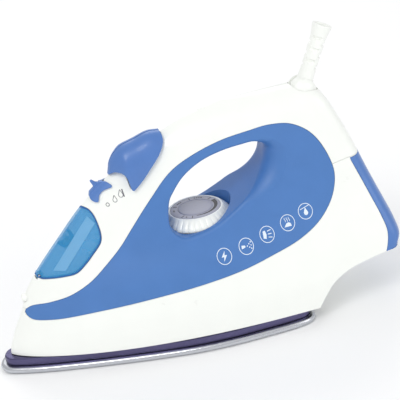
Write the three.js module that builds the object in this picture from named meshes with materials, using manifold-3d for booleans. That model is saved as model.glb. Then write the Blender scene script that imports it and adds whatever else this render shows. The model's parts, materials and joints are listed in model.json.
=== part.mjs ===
// Steam iron: an assembly of separate pieces in millimetres, +Z up.
// Pieces are laid out by their distance back from the soleplate's nose (x), their
// distance to the iron's right (y) and their height above the ironing surface (z);
// the whole group is then moved so that its origin is at the middle of its base.

import * as THREE from 'three';
import { mergeVertices } from 'three/addons/utils/BufferGeometryUtils.js';
import Module from 'manifold-3d';

const wasm = await Module();
wasm.setup();

// ---- driving dimensions ----------------------------------------------------

const SOLE_LENGTH = 220;
const SOLE_THICKNESS = 4.4;
const OVERALL_LENGTH = 292;        // nose of the soleplate to the heel
const SKIRT_BOTTOM = 10.5;
const FORM_BASE = 2.5;             // the body's form is carried down to here, then cut off above
const HANDLE_TOP = 158.4;
const GRIP_MIDDLE = 137;           // above this height the grip's top is an ellipse
const WALL = 2.3;                  // moulded wall of the housings
const SHUT_GAP = 0.3;              // half of the gap between two housings
const NOSE_TAPER_LENGTH = 195;     // how far back the plan goes on widening, at the base
const NOSE_TAPER_SHRINK = 0.93;    // and how much less of that per mm of height
const NOSE_TAPER_POWER = 0.7;
const REAR_ROUNDING = 11;
const BODY_CENTRE = [150, 20];     // the side view is star-shaped about this point

// Front edge of the body in side view, from the skirt's nose up to the grip: [x, z].
const FRONT_EDGE = [
  [8.6, FORM_BASE], [9, SKIRT_BOTTOM], [13.8, 24], [19.5, 35], [24, 43], [28, 53], [33.4, 61], [39.6, 68.4],
  [60.3, 89.9], [77.8, 107], [94.4, 120], [110, 130.5], [127, 140.5], [145, 148], [156.3, 152],
  [171, 156], [186, HANDLE_TOP],
];
// Rear edge, from the heel's foot up to the grip. Its second point is the rearmost.
const REAR_EDGE = [
  [289.6, 37.6], [OVERALL_LENGTH, 43.4], [291, 51], [287, 64.4], [279.2, 88], [271.6, 111.4],
  [263.4, 132.5], [256.6, 147], [251, 153.5], [242, 157.4], [225, HANDLE_TOP],
];
// Underside behind the soleplate, from the sole's rear up to the heel's foot.
const UNDERSIDE = [
  [221.8, SKIRT_BOTTOM + 0.4], [227, 15.4], [235, 24], [247, 31.2], [262, 35.6], [275, 37], [284, 36.8],
];
// Half-width of the body's flank at each height: [z, half-width].
const FLANK = [
  [0, 51], [10.5, 50.6], [30, 49.3], [50, 43.5], [62, 37.8], [75, 31], [90, 25.5], [105, 21.6],
  [120, 19], [GRIP_MIDDLE, 17.6],
];
// Outline of the blue side body, and of the handle opening inside it.
const BODY_OUTLINE = [
  [23.2, 41.2], [26.5, 37.9], [40, 37.6], [73.8, 42], [114.9, 46.2], [142.8, 48.6], [171.6, 51.9],
  [194.3, 56.2], [217.7, 62.2], [234.9, 70.8], [246, 82], [251.6, 96], [248.3, 112.4],
  [240, 127.4], [227.1, 136.8], [212, 139.7], [199.1, 139.1], [177.7, 136.7], [155.9, 130.1],
  [140.7, 122.3], [123.5, 106.5], [105.6, 88.1], [96.6, 79], [83.8, 68.7], [71.5, 60],
  [56.6, 52.8], [42.6, 48.8], [29.1, 45.8],
];
const HANDLE_OPENING = [
  [131, 85], [133.5, 103], [138, 110], [147, 119.5], [162, 127.5], [177, 131], [191, 131.8],
  [202, 130.5], [208.5, 124], [208, 115], [203, 105.5], [195, 97.5], [187, 92.5], [178, 87.5],
  [165, 81.5], [150, 78], [138, 78],
];
// Front edge of the heel cap, from its foot up.
const HEEL_CAP_TOP = 104;
const HEEL_CAP_EDGE = [
  [268, 26], [276.8, 43], [278.8, 52], [277.2, 62], [273.6, 75], [269.6, 88], [264.6, HEEL_CAP_TOP - 1],
];

const DIAL_X = 156;
const DIAL_BASE = 76.6;
const DIAL_TOP = 85.4;
const DIAL_RADIUS = 24.8;
const DIAL_FACE_RADIUS = 17.5;
const WELL_RADIUS = 25.6;
const WELL_FLOOR = 75.7;
const SHAFT_RADIUS = 3;

const BUTTON_OUTLINE = [
  [100.6, 126], [107, 131], [111.2, 122], [113.8, 115.8], [119.5, 118.8], [128.5, 129],
  [137, 139.5], [141.4, 145.6], [140, 148.5], [134, 149.2], [122, 146.2], [113, 143.8],
  [107.5, 140], [104, 135],
];
const PUMP_X = 120;
const PUMP_Y = 5.4;
const PUMP_RADIUS = 4.4;
const PUMP_TOP = 106;

const SELECTOR = { x: 91.8, z: 118, slope: Math.atan2(13, 16.6), length: 7, travel: 4.5 };
const VALVE_X = 92;

const DOOR_OUTLINE = [
  [38.2, 65.5], [44, 63.8], [54, 65.6], [70.5, 70.2], [78.5, 76.6], [86.3, 85], [86.2, 95],
  [84.5, 104], [80.8, 112], [60, 96], [38, 74],
];
const DOOR_THICKNESS = 1.8;
const FILL_HOLE = { x: 62.5, z: 88, radius: 7 };

const GUARD_TILT = THREE.MathUtils.degToRad(25.8);
const GUARD_PIVOT = [243.4, 152.4];
const TURRET_RADIUS = 10.4;
const GUARD_LENGTH = 46.5;
const CORD_BORE = 4.1;

// ---- finishes --------------------------------------------------------------

const finish = (color, roughness, metalness = 0, opacity = 1) => new THREE.MeshStandardMaterial({
  color, roughness, metalness, opacity, transparent: opacity < 1,
});
const WHITE = () => finish(0xf4f5f0, 0.28);
const BLUE = () => finish(0x5482bc, 0.35);
const CLEAR_BLUE = () => finish(0x4a93cf, 0.1, 0, 0.55);
const SMOKED = () => finish(0xbcd8ec, 0.15, 0, 0.5);
const DARK = () => finish(0x2b2b30, 0.6);
const RUBBER = () => finish(0x8f9296, 0.8);
const STEEL = () => finish(0xc9ccd0, 0.22, 1);
const CAST = () => finish(0x6f7080, 0.35, 1);
const BRASS = () => finish(0xb98f45, 0.35, 1);
const GREY_FACE = () => finish(0x90909c, 0.4);
const AMBER = () => finish(0xe07a30, 0.2, 0, 0.8);

// ---- curves ----------------------------------------------------------------

// A smooth curve through [in, out] pairs that never overshoots them.
function monotone(pairs) {
  const sorted = [...pairs].sort((a, b) => a[0] - b[0]);
  const xs = sorted.map((p) => p[0]);
  const ys = sorted.map((p) => p[1]);
  const steps = xs.slice(1).map((x, k) => (ys[k + 1] - ys[k]) / (x - xs[k]));
  const slopes = xs.map((_, k) => {
    const before = steps[Math.max(k - 1, 0)];
    const after = steps[Math.min(k, steps.length - 1)];
    return before * after <= 0 ? 0 : (2 * before * after) / (before + after);
  });
  return (value) => {
    const t = Math.min(Math.max(value, xs[0]), xs[xs.length - 1]);
    const k = Math.min(Math.max(xs.findIndex((x) => x > t) - 1, 0), xs.length - 2);
    const last = t === xs[xs.length - 1] ? xs.length - 2 : k;
    const h = xs[last + 1] - xs[last];
    const s = (t - xs[last]) / h;
    return (1 + 2 * s) * (1 - s) ** 2 * ys[last] + s * (1 - s) ** 2 * h * slopes[last]
      + s * s * (3 - 2 * s) * ys[last + 1] + s * s * (s - 1) * h * slopes[last + 1];
  };
}

const frontEdgeAt = monotone(FRONT_EDGE.map(([x, z]) => [z, x]));
const rearEdgeAt = monotone(REAR_EDGE.map(([x, z]) => [z, x]));
const flankAt = monotone(FLANK);

// Half-width of the whole body at a point of its side view.
function halfWidth(x, z) {
  const over = Math.max(0, (z - GRIP_MIDDLE) / (HANDLE_TOP - GRIP_MIDDLE));
  const flank = flankAt(z) * Math.sqrt(Math.max(0, 1 - over * over));
  const taper = NOSE_TAPER_LENGTH - NOSE_TAPER_SHRINK * (z - SKIRT_BOTTOM);
  const front = THREE.MathUtils.clamp((x - frontEdgeAt(z)) / taper, 0, 1);
  const rear = THREE.MathUtils.clamp((rearEdgeAt(z) - x) / REAR_ROUNDING, 0, 1);
  return flank * Math.sin((Math.PI / 2) * front ** NOSE_TAPER_POWER) * (1 - (1 - rear) ** 3) ** (1 / 3);
}

// Points along a smooth curve through [x, z] pairs.
function smooth(points, count, closed = false) {
  const curve = new THREE.CatmullRomCurve3(
    points.map(([x, z]) => new THREE.Vector3(x, 0, z)), closed, 'centripetal',
  );
  const out = curve.getSpacedPoints(count).map((p) => [p.x, p.z]);
  if (closed) out.pop();
  return out;
}

// A closed outline moved outward by a distance (inward when it is negative).
function grow(outline, distance) {
  const area = outline.reduce((sum, [x, z], k) => {
    const [u, v] = outline[(k + 1) % outline.length];
    return sum + x * v - u * z;
  }, 0);
  const side = Math.sign(area) * distance;
  return outline.map(([x, z], k) => {
    const [a, b] = outline[(k + outline.length - 1) % outline.length];
    const [c, d] = outline[(k + 1) % outline.length];
    const length = Math.hypot(c - a, d - b);
    return [x + (side * (d - b)) / length, z - (side * (c - a)) / length];
  });
}

// ---- solids ----------------------------------------------------------------

// Signed volume of an indexed closed geometry: positive when its faces point out.
function signedVolume(geometry) {
  const { position } = geometry.attributes;
  const corner = [new THREE.Vector3(), new THREE.Vector3(), new THREE.Vector3()];
  let sum = 0;
  for (let k = 0; k < geometry.index.count; k += 3) {
    corner.forEach((c, n) => c.fromBufferAttribute(position, geometry.index.getX(k + n)));
    sum += corner[0].dot(corner[1].cross(corner[2])) / 6;
  }
  return sum;
}

// A closed geometry as a Manifold, turned so that its faces point out.
function solid(geometry) {
  const bare = geometry.clone();
  for (const name of Object.keys(bare.attributes)) if (name !== 'position') bare.deleteAttribute(name);
  const merged = mergeVertices(bare, 1e-4);
  const triangles = [];
  for (let k = 0; k < merged.index.count; k += 3) {
    const [a, b, c] = [0, 1, 2].map((n) => merged.index.getX(k + n));
    if (a !== b && b !== c && a !== c) triangles.push(a, b, c);
  }
  if (signedVolume(merged) < 0) triangles.reverse();
  return new wasm.Manifold(new wasm.Mesh({
    numProp: 3,
    vertProperties: Float32Array.from(merged.attributes.position.array),
    triVerts: Uint32Array.from(triangles),
  }));
}

// Corners closer together than this become one corner.
const SNAP = 0.005;

function geometryOf(body) {
  const mesh = body.getMesh();
  const geometry = new THREE.BufferGeometry();
  const snapped = Float32Array.from(mesh.vertProperties, (v) => Math.round(v / SNAP) * SNAP);
  geometry.setAttribute('position', new THREE.BufferAttribute(snapped, 3));
  geometry.setIndex(new THREE.BufferAttribute(Uint32Array.from(mesh.triVerts), 1));
  return geometry;
}

const box = (x0, x1, y0, y1, z0, z1) => solid(new THREE.BoxGeometry(x1 - x0, y1 - y0, z1 - z0)
  .translate((x0 + x1) / 2, (y0 + y1) / 2, (z0 + z1) / 2));

// Side-view outline [x, z] extruded across the iron.
function prism(outline, y0, y1) {
  const shape = new THREE.Shape(outline.map(([x, z]) => new THREE.Vector2(x, z)));
  const geometry = new THREE.ExtrudeGeometry(shape, { depth: y1 - y0, bevelEnabled: false, steps: 1 });
  return solid(geometry.rotateX(Math.PI / 2).translate(0, y1, 0));
}

// Plan outline [x, y] extruded upward.
function slab(outline, z0, z1) {
  const shape = new THREE.Shape(outline.map(([x, y]) => new THREE.Vector2(x, y)));
  return solid(new THREE.ExtrudeGeometry(shape, { depth: z1 - z0, bevelEnabled: false }).translate(0, 0, z0));
}

// Round piece about a vertical axis: profile is [radius, z] pairs.
const lathe = (profile, segments = 24) => solid(new THREE.LatheGeometry(
  profile.map(([r, z]) => new THREE.Vector2(r, z)), segments,
).rotateX(Math.PI / 2));
const post = (x, y, z0, z1, radius, segments = 16) => lathe(
  [[0, z0], [radius, z0], [radius, z1], [0, z1]], segments,
).translate(x, y, 0);
const ring = (x, y, z0, z1, inner, outer, segments = 20) => lathe(
  [[inner, z0], [outer, z0], [outer, z1], [inner, z1], [inner, z0]], segments,
).translate(x, y, 0);

// A rod between two points of the side view at a given y.
function rod([x0, z0], [x1, z1], y, radius, segments = 12) {
  const length = Math.hypot(x1 - x0, z1 - z0);
  const lean = THREE.MathUtils.radToDeg(Math.atan2(x1 - x0, z1 - z0));
  return post(0, 0, 0, length, radius, segments).rotate([0, lean, 0]).translate(x0, y, z0);
}

// ---- the body's outer form -------------------------------------------------

const silhouette = [
  ...smooth(FRONT_EDGE, 18),
  [205, HANDLE_TOP],
  ...smooth(REAR_EDGE.slice(1).reverse(), 11),
  ...smooth([...UNDERSIDE, REAR_EDGE[0]].reverse(), 6),
  ...[221.4, 175, 120, 75, 40, 20].map((x) => [x, FORM_BASE]),
];
const RINGS = [1, 0.99, 0.972, 0.94, 0.84, 0.6];

// The whole body as one solid whose skin is moved outward by `offset`. It reaches
// below the skirt's foot, so that a cavity cut with it is open below.
function bodyForm(offset) {
  const outline = offset === 0 ? silhouette : grow(silhouette, offset);
  const thinnest = offset === 0 ? 0 : 0.05;
  const inward = Math.max(-offset, 0);
  const [cx, cz] = BODY_CENTRE;
  const positions = [];
  for (const side of [-1, 1]) {
    for (const reach of [...RINGS, 0]) {
      for (const [x, z] of reach === 0 ? [[cx, cz]] : outline) {
        const px = cx + reach * (x - cx);
        const pz = cz + reach * (z - cz);
        const width = Math.min(halfWidth(px, pz), halfWidth(px + inward, pz));
        positions.push(px, side * Math.max(thinnest, width + offset), pz);
      }
    }
  }
  const count = outline.length;
  const perSide = RINGS.length * count + 1;
  const index = [];
  for (let k = 0; k < count; k += 1) {
    const n = (k + 1) % count;
    for (let r = 0; r < RINGS.length; r += 1) {
      const last = r === RINGS.length - 1;
      const [a, b] = [r * count + k, r * count + n];
      const [c, d] = last ? [perSide - 1, perSide - 1] : [a + count, b + count];
      index.push(a, b, d, a, d, c);
      index.push(perSide + a, perSide + d, perSide + b, perSide + a, perSide + c, perSide + d);
    }
    index.push(k, perSide + n, n, k, perSide + k, perSide + n);
  }
  const geometry = new THREE.BufferGeometry();
  geometry.setAttribute('position', new THREE.Float32BufferAttribute(positions, 3));
  geometry.setIndex(index);
  return solid(geometry);
}

const bodyOutline = smooth(BODY_OUTLINE, 40, true);
const openingOutline = smooth(HANDLE_OPENING, 24, true);
const REACH = 70;                  // half-length of a cutter that goes right across
const across = (outline) => prism(outline, -REACH, REACH);
const largest = (body) => body.decompose().reduce((a, b) => (a.volume() > b.volume() ? a : b));

const outer = bodyForm(0).intersect(box(-20, 320, -REACH, REACH, SKIRT_BOTTOM, 200));
const inner = bodyForm(-WALL).subtract(box(-20, 15, -REACH, REACH, 0, 60));
const opening = across(openingOutline);
const cavity = inner.subtract(across(grow(openingOutline, WALL)));
const housing = outer.subtract(opening).subtract(cavity);

// Side-view regions: the heel cap, and everything above the line on which the top
// cover parts from the skirt. The line runs inside the side body where it meets it.
const heelRegion = [
  ...HEEL_CAP_EDGE, [300, HEEL_CAP_TOP + 2], [300, 26],
];
const coverRegion = (drop) => [
  [-5, 47 - drop], [26, 43.5 - drop], [56, 48], [84, 62], [106, 80], [125, 98], [150, 110],
  [200, 125], [238, 120], [248, 101.5 - drop], [262, 103.6 - drop], [300, HEEL_CAP_TOP + 2.6 - drop],
  [300, 200], [-5, 200],
];
const outsideSideBody = housing.subtract(across(grow(bodyOutline, SHUT_GAP)));
const HEEL_FOOT_TOP = 44.5;        // the heel's foot is solid below this height
const heelHollow = inner.intersect(box(200, 300, -REACH, REACH, HEEL_FOOT_TOP, 120));
const heelShell = largest(outer.intersect(across(heelRegion)).subtract(heelHollow));
const coverShell = largest(outsideSideBody.intersect(across(coverRegion(0)))
  .subtract(across(grow(heelRegion, 2 * SHUT_GAP))));
const skirtShell = largest(outsideSideBody.subtract(across(coverRegion(2 * SHUT_GAP)))
  .subtract(across(grow(heelRegion, 2 * SHUT_GAP))));
const sideShell = largest(housing.intersect(across(grow(bodyOutline, -SHUT_GAP))));

// ---- placing -----------------------------------------------------------------

const iron = new THREE.Group();
iron.position.x = -OVERALL_LENGTH / 2;

const FINEST_DETAIL = 0.02;         // shorter edges are merged away
function add(name, body, material) {
  const whole = largest(solid(geometryOf(body)).simplify(FINEST_DETAIL));
  const mesh = new THREE.Mesh(geometryOf(whole), material);
  mesh.name = name;
  iron.add(mesh);
}

// ---- soleplate ---------------------------------------------------------------

// Half outline of the soleplate: [x, half-width].
const SOLE_HALF = [
  [0, 0], [1.2, 5], [4.2, 9.8], [15, 15.6], [32, 22.4], [58, 30.8], [84, 38.4], [110, 45.1],
  [134, 50.2], [158, 52.6], [185, 52.8], [203, 52.2], [213.5, 50], [218.6, 45.5], [SOLE_LENGTH, 38],
];
const soleHalf = smooth(SOLE_HALF, 20);
const soleOutline = [...soleHalf, ...soleHalf.slice(1).reverse().map(([x, y]) => [x, -y])];
const STEAM_HOLES = [
  [24, 0], [38, 10], [58, 18], [80, 25], [102, 31], [124, 35.5], [146, 38], [168, 39],
].flatMap(([x, y]) => (y === 0 ? [[x, 0]] : [[x, y], [x, -y]]));
const CHAMFER = 1.3;

let soleplate = slab(grow(soleOutline, -CHAMFER), 0, SOLE_THICKNESS)
  .add(slab(soleOutline, CHAMFER, SOLE_THICKNESS - CHAMFER));
for (const [x, y] of STEAM_HOLES) soleplate = soleplate.subtract(post(x, y, -1, 6, 1.6, 6));
add('soleplate', soleplate, STEEL());

// The heated casting: a flange that shows under the skirt, and a narrower block above.
const BAND_TOP = SKIRT_BOTTOM - 0.5;
const CASTING_TOP = 17;
const CHAMBER_TOP = CASTING_TOP + 1.8;
const SCREWS = { sole_screw_front: [46, 0], sole_screw_left: [206, -24], sole_screw_right: [206, 24] };
const castingBlock = grow(soleOutline, -9).filter(([x]) => x > 20);
const screwHoles = Object.values(SCREWS)
  .map(([x, y]) => post(x, y, 9, 30, 1.9, 8))
  .reduce((all, hole) => all.add(hole));
add('sole_casting', slab(grow(soleOutline, -4), SOLE_THICKNESS + 0.3, BAND_TOP)
  .add(slab(castingBlock, BAND_TOP - 1, CASTING_TOP)).subtract(screwHoles), CAST());
add('steam_chamber_cover', slab(grow(castingBlock, -3), CASTING_TOP + 0.3, CHAMBER_TOP)
  .subtract(screwHoles), STEEL());
for (const [name, [x, y]] of Object.entries(SCREWS)) {
  add(name, lathe([
    [0, 10], [1.5, 10], [1.5, CHAMBER_TOP + 0.3], [3.4, CHAMBER_TOP + 0.3], [3, CHAMBER_TOP + 2.2],
    [0, CHAMBER_TOP + 2.2],
  ], 10).translate(x, y, 0), STEEL());
}

// The heating element: a U of tube lying on the chamber cover.
const ELEMENT_RADIUS = 3.2;
class ElementPath extends THREE.Curve {
  getPoint(t) {
    const angle = Math.PI * (t - 0.5);
    return new THREE.Vector3(196 - 138 * Math.cos(angle), 27 * Math.sin(angle), CHAMBER_TOP + ELEMENT_RADIUS + 0.4);
  }
}
const circle = (radius, sides) => new THREE.Shape(Array.from({ length: sides }, (_, k) => new THREE.Vector2(
  radius * Math.cos((2 * Math.PI * k) / sides), radius * Math.sin((2 * Math.PI * k) / sides),
)));
const tube = (path, radius, sides, steps) => solid(new THREE.ExtrudeGeometry(circle(radius, sides), {
  extrudePath: path, steps, bevelEnabled: false,
}));
const route = (points) => new THREE.CatmullRomCurve3(points.map((p) => new THREE.Vector3(...p)), false, 'centripetal');
add('heating_element', tube(new ElementPath(), ELEMENT_RADIUS, 8, 24), CAST());

// ---- thermostat and dial -----------------------------------------------------

const THERMOSTAT_TOP = 40;
add('thermostat', box(DIAL_X - 11, DIAL_X + 11, -9, 9, CHAMBER_TOP + 0.4, THERMOSTAT_TOP - 6)
  .add(post(DIAL_X, 0, THERMOSTAT_TOP - 7, THERMOSTAT_TOP, 5, 12)), BRASS());
add('thermal_fuse', box(180, 196, -6, 6, CHAMBER_TOP + 0.4, CHAMBER_TOP + 6), RUBBER());

const RIBS = 32;
const dialSkirt = lathe([
  [0, DIAL_BASE], [DIAL_RADIUS - 0.6, DIAL_BASE], [DIAL_RADIUS, DIAL_BASE + 1.4],
  [DIAL_RADIUS - 0.6, DIAL_BASE + 3.2], [DIAL_RADIUS - 3.4, DIAL_TOP - 1.6],
  [DIAL_FACE_RADIUS + 0.6, DIAL_TOP], [DIAL_FACE_RADIUS, DIAL_TOP - 0.8], [0, DIAL_TOP - 0.8],
], RIBS);
add('thermostat_dial', dialSkirt.subtract(post(0, 0, DIAL_BASE - 1, DIAL_BASE + 4, SHAFT_RADIUS + 0.3, 12))
  .translate(DIAL_X, 0, 0), WHITE());
add('dial_face', post(DIAL_X, 0, DIAL_TOP - 0.5, DIAL_TOP - 0.1, DIAL_FACE_RADIUS - 0.5, 24), GREY_FACE());
add('dial_shaft', post(DIAL_X, 0, THERMOSTAT_TOP + 0.4, DIAL_BASE + 3.7, SHAFT_RADIUS, 12)
  .subtract(box(DIAL_X + 2, DIAL_X + 4, -4, 4, DIAL_BASE - 8, DIAL_BASE + 5)), BRASS());

// ---- side body, with the dial's well -----------------------------------------

const well = post(DIAL_X, 0, WELL_FLOOR - WALL, WELL_FLOOR + 1.5, WELL_RADIUS + 1.6, 24);
const sideBody = sideShell.add(well.intersect(bodyForm(-0.4)))
  .subtract(post(DIAL_X, 0, WELL_FLOOR, WELL_FLOOR + 16, WELL_RADIUS, 24))
  .subtract(post(DIAL_X, 0, 60, 90, SHAFT_RADIUS + 0.4, 12));
add('side_body', largest(sideBody), BLUE());

// ---- buttons and pumps -------------------------------------------------------

// The thumb buttons' crown: half-width grows from nothing at the top edge.
const CROWN = [[96, 120], [100.6, 126], ...BUTTON_OUTLINE.slice(8).reverse(), [150, 148]];
const crownTopAt = monotone([...CROWN].sort((a, b) => a[0] - b[0]));
const BUTTON_HALF = 15;
function buttonForm() {
  const rows = 12;
  const columns = 10;
  const geometry = new THREE.BufferGeometry();
  const positions = [];
  const index = [];
  for (let r = 0; r <= rows; r += 1) {
    const x = THREE.MathUtils.lerp(98, 143, r / rows);
    const top = crownTopAt(x) - 0.1;
    for (let c = 0; c <= columns; c += 1) {
      const a = (Math.PI * c) / columns;
      positions.push(x, -BUTTON_HALF * Math.cos(a), 112 + (top - 112) * Math.sin(a) ** 0.55);
    }
  }
  const at = (r, c) => r * (columns + 1) + c;
  for (let r = 0; r < rows; r += 1) {
    for (let c = 0; c <= columns; c += 1) {
      const n = (c + 1) % (columns + 1);
      index.push(at(r, c), at(r + 1, c), at(r + 1, n), at(r, c), at(r + 1, n), at(r, n));
    }
  }
  for (const [r, flip] of [[0, false], [rows, true]]) {
    for (let c = 1; c < columns; c += 1) {
      index.push(...(flip ? [at(r, 0), at(r, c + 1), at(r, c)] : [at(r, 0), at(r, c), at(r, c + 1)]));
    }
  }
  geometry.setAttribute('position', new THREE.Float32BufferAttribute(positions, 3));
  geometry.setIndex(index);
  return solid(geometry);
}
const WING_CLEARANCE = 2.7;
const STEM_HALF = 7;
const STEM_OUTLINE = [[104.6, 120], [104.6, 132.5], [137, 143], [137, 133], [128, 124]];
const buttonSkin = buttonForm().intersect(across(BUTTON_OUTLINE))
  .subtract(bodyForm(WING_CLEARANCE));
const stem = prism(STEM_OUTLINE, -STEM_HALF, STEM_HALF)
  .add(prism([[101.6, 123.5], [101.9, 128], [108, 138], [112, 122.5]], -STEM_HALF, STEM_HALF));
const buttonPair = buttonSkin.add(stem.intersect(buttonForm()));
const rightHalf = box(90, 150, 0.25, 20, 100, 160);
const leftHalf = box(90, 150, -20, -0.25, 100, 160);
add('spray_button', largest(buttonPair.intersect(leftHalf)), BLUE());
add('steam_burst_button', largest(buttonPair.intersect(rightHalf)), BLUE());

for (const [pump, y] of [['spray', -PUMP_Y], ['steam_burst', PUMP_Y]]) {
  add(`${pump}_pump_body`, ring(PUMP_X, y, PUMP_TOP - 22, PUMP_TOP, 3.4, PUMP_RADIUS, 14), SMOKED());
  add(`${pump}_piston`, post(PUMP_X, y, PUMP_TOP - 16, PUMP_TOP - 12, 3, 12)
    .add(post(PUMP_X, y, PUMP_TOP - 13, 119.4, 1.3, 8)), WHITE());
  add(`${pump}_spring`, ring(PUMP_X, y, PUMP_TOP + 0.4, 119.2, 2, 3, 12), STEEL());
}

// ---- steam selector and drip valve -------------------------------------------

// A box laid along the front ridge: `along` and `above` are measured from the selector's middle.
function ridgeBox(a0, a1, halfWidthOfBox, h0, h1) {
  const tilt = -THREE.MathUtils.radToDeg(SELECTOR.slope);
  return box(a0, a1, -halfWidthOfBox, halfWidthOfBox, h0, h1).rotate([0, tilt, 0])
    .translate(SELECTOR.x, 0, SELECTOR.z);
}
const saddle = bodyForm(2.1).subtract(bodyForm(0.7))
  .intersect(ridgeBox(-SELECTOR.length / 2, SELECTOR.length / 2, 9.2, -12, 8));
const fin = prism([[-3, 0.8], [-0.4, 3.4], [0.8, 6.8], [1.8, 6.4], [2.4, 3.4], [3.4, 0.8]], -1.3, 1.3)
  .rotate([0, -THREE.MathUtils.radToDeg(SELECTOR.slope), 0]).translate(SELECTOR.x, 0, SELECTOR.z);
const selectorStem = ridgeBox(-1.6, 1.6, 1.6, -6, 2.2);
add('steam_selector', largest(saddle.add(fin).add(selectorStem)), BLUE());
const selectorSlot = ridgeBox(-2.2, 2.2 + SELECTOR.travel, 2.1, -6, 3);
add('steam_valve_rod', post(VALVE_X, 0, 27, 104, 1.4, 8).add(post(VALVE_X, 0, 101, 103, 2.6, 8)), BRASS());
add('drip_valve_seat', ring(VALVE_X, 0, CHAMBER_TOP + 0.4, 26.4, 1.1, 4.6, 12), RUBBER());
add('valve_spring', ring(VALVE_X, 0, 93, 100.6, 2, 2.9, 10), STEEL());

// ---- filler door ---------------------------------------------------------------

const doorRegion = across(DOOR_OUTLINE);
const filler = rod([FILL_HOLE.x - 4, FILL_HOLE.z + 5], [FILL_HOLE.x + 12, FILL_HOLE.z - 13], 0, FILL_HOLE.radius, 20);
const doorShell = bodyForm(0.2).subtract(bodyForm(0.2 - DOOR_THICKNESS)).intersect(doorRegion);
const doorPocket = bodyForm(1).subtract(bodyForm(-DOOR_THICKNESS - 0.4))
  .intersect(across(grow(DOOR_OUTLINE, 0.5)));
const pocketPad = bodyForm(-1).subtract(bodyForm(-DOOR_THICKNESS - 2.4))
  .intersect(across(grow(DOOR_OUTLINE, 2.4)));
const HINGE = [40.2, 65.4];
const HINGE_HALF = 2.6;
const acrossAtHinge = (half, radius, sides) => post(0, 0, -half, half, radius, sides)
  .rotate([90, 0, 0]).translate(HINGE[0], 0, HINGE[1]);
const hingeClearance = acrossAtHinge(HINGE_HALF + 0.6, 3.6, 16).add(acrossAtHinge(4, 1.1, 10));
add('filler_door', largest(doorShell.add(acrossAtHinge(HINGE_HALF, 2.1, 14))
  .subtract(acrossAtHinge(5, 1.15, 10))), CLEAR_BLUE());
add('door_hinge_pin', acrossAtHinge(3.8, 0.8, 10), STEEL());

// The round stopper under the door, on the filler's axis. Depth is measured from the ridge.
const FILLER_LEAN = THREE.MathUtils.radToDeg(Math.atan2(16, -18));
const onFillerAxis = (body) => body.rotate([0, FILLER_LEAN, 0]).translate(60.5, 0, 90.2);
add('door_seal', onFillerAxis(post(0, 0, 6.8, 9.2, 4.6, 14)
  .add(post(0, 0, 3.6, 7, 1.6, 8))), RUBBER());

// ---- water tank and tubes ------------------------------------------------------

const TANK_OUTLINE = [[38, 29], [112, 29], [112, 70], [104, 80], [90, 80], [72, 68], [48, 54]];
const TANK_WALL = 1.6;
const tankHollow = bodyForm(-WALL - 0.8 - TANK_WALL).intersect(across(grow(TANK_OUTLINE, -TANK_WALL)));
const sprayRoute = route([
  [114.9, -PUMP_Y, 92], [104, -PUMP_Y, 85], [85, -5, 70], [60, -3.5, 56], [44, -1, 50.4], [34.9, 0, 49.4],
]);
const tank = bodyForm(-WALL - 0.8).intersect(across(TANK_OUTLINE))
  .subtract(tankHollow)
  .add(post(VALVE_X, 0, 29, 80, 3.6, 12))
  .subtract(post(VALVE_X, 0, 20, 90, 2.2, 10))
  .subtract(filler)
  .subtract(tube(sprayRoute, 1.9, 8, 16));
add('water_tank', largest(tank), SMOKED());
add('spray_tube', tube(sprayRoute, 1.4, 6, 16), RUBBER());
add('steam_burst_tube', post(PUMP_X, PUMP_Y, CHAMBER_TOP + 0.4, PUMP_TOP - 22.4, 1.8, 8), RUBBER());

// ---- top cover -------------------------------------------------------------------

const [pivotX, pivotZ] = GUARD_PIVOT;
const guardLean = THREE.MathUtils.radToDeg(GUARD_TILT);
const onGuardAxis = (body) => body.rotate([0, guardLean, 0]).translate(pivotX, 0, pivotZ);
const WELL_HALF = STEM_HALF + 1.3;
const buttonWell = prism(
  [[100.5, 100], [100.5, 140], [142.2, 160], [142.2, 138], [132, 120], [118, 100]], -WELL_HALF, WELL_HALF,
);
const NOZZLE = { x: 27.4, z: 50.2, radius: 3, lean: 0.12, proud: 2.4, length: 6.8 };
const onNozzleAxis = (along) => [NOZZLE.x + along, NOZZLE.z - NOZZLE.lean * along];
const nozzleHole = rod(onNozzleAxis(-10), onNozzleAxis(13), 0, NOZZLE.radius + SHUT_GAP, 14);
const topCover = coverShell.add(pocketPad).subtract(doorPocket)
  .subtract(filler)
  .subtract(hingeClearance)
  .subtract(selectorSlot)
  .subtract(buttonWell)
  .subtract(nozzleHole)
  .subtract(onGuardAxis(post(0, 0, -16, 20, TURRET_RADIUS + 0.4, 24)));
// The pilot lamp looks out of the cover's rear face, below the cord.
const LAMP = { z: 124, radius: 2.9, depth: 5, proud: 1 };
const lampX = rearEdgeAt(LAMP.z);
const lampLean = Math.atan2(rearEdgeAt(LAMP.z - 8) - rearEdgeAt(LAMP.z + 8), 16);
const onLampAxis = (along) => [lampX + along * Math.cos(lampLean), LAMP.z + along * Math.sin(lampLean)];
const lampHole = rod(onLampAxis(-20), onLampAxis(10), 0, LAMP.radius + SHUT_GAP, 12);
add('top_cover', largest(topCover.subtract(lampHole)), WHITE());
add('pilot_lamp_lens', rod(onLampAxis(-LAMP.depth), onLampAxis(LAMP.proud), 0, LAMP.radius, 12), AMBER());
add('lower_skirt', skirtShell, WHITE());
const HEEL_SCREW_Z = 66.5;
const rearAtScrew = rearEdgeAt(HEEL_SCREW_Z);
add('heel_cap', largest(heelShell.subtract(rod([250, HEEL_SCREW_Z], [300, HEEL_SCREW_Z], 0, 3.6, 10))), BLUE());
add('heel_screw', rod([rearAtScrew - 26, HEEL_SCREW_Z], [rearAtScrew - 4, HEEL_SCREW_Z], 0, 1.6, 8)
  .add(rod([rearAtScrew - 4.4, HEEL_SCREW_Z], [rearAtScrew - 2, HEEL_SCREW_Z], 0, 3, 12)), STEEL());
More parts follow.
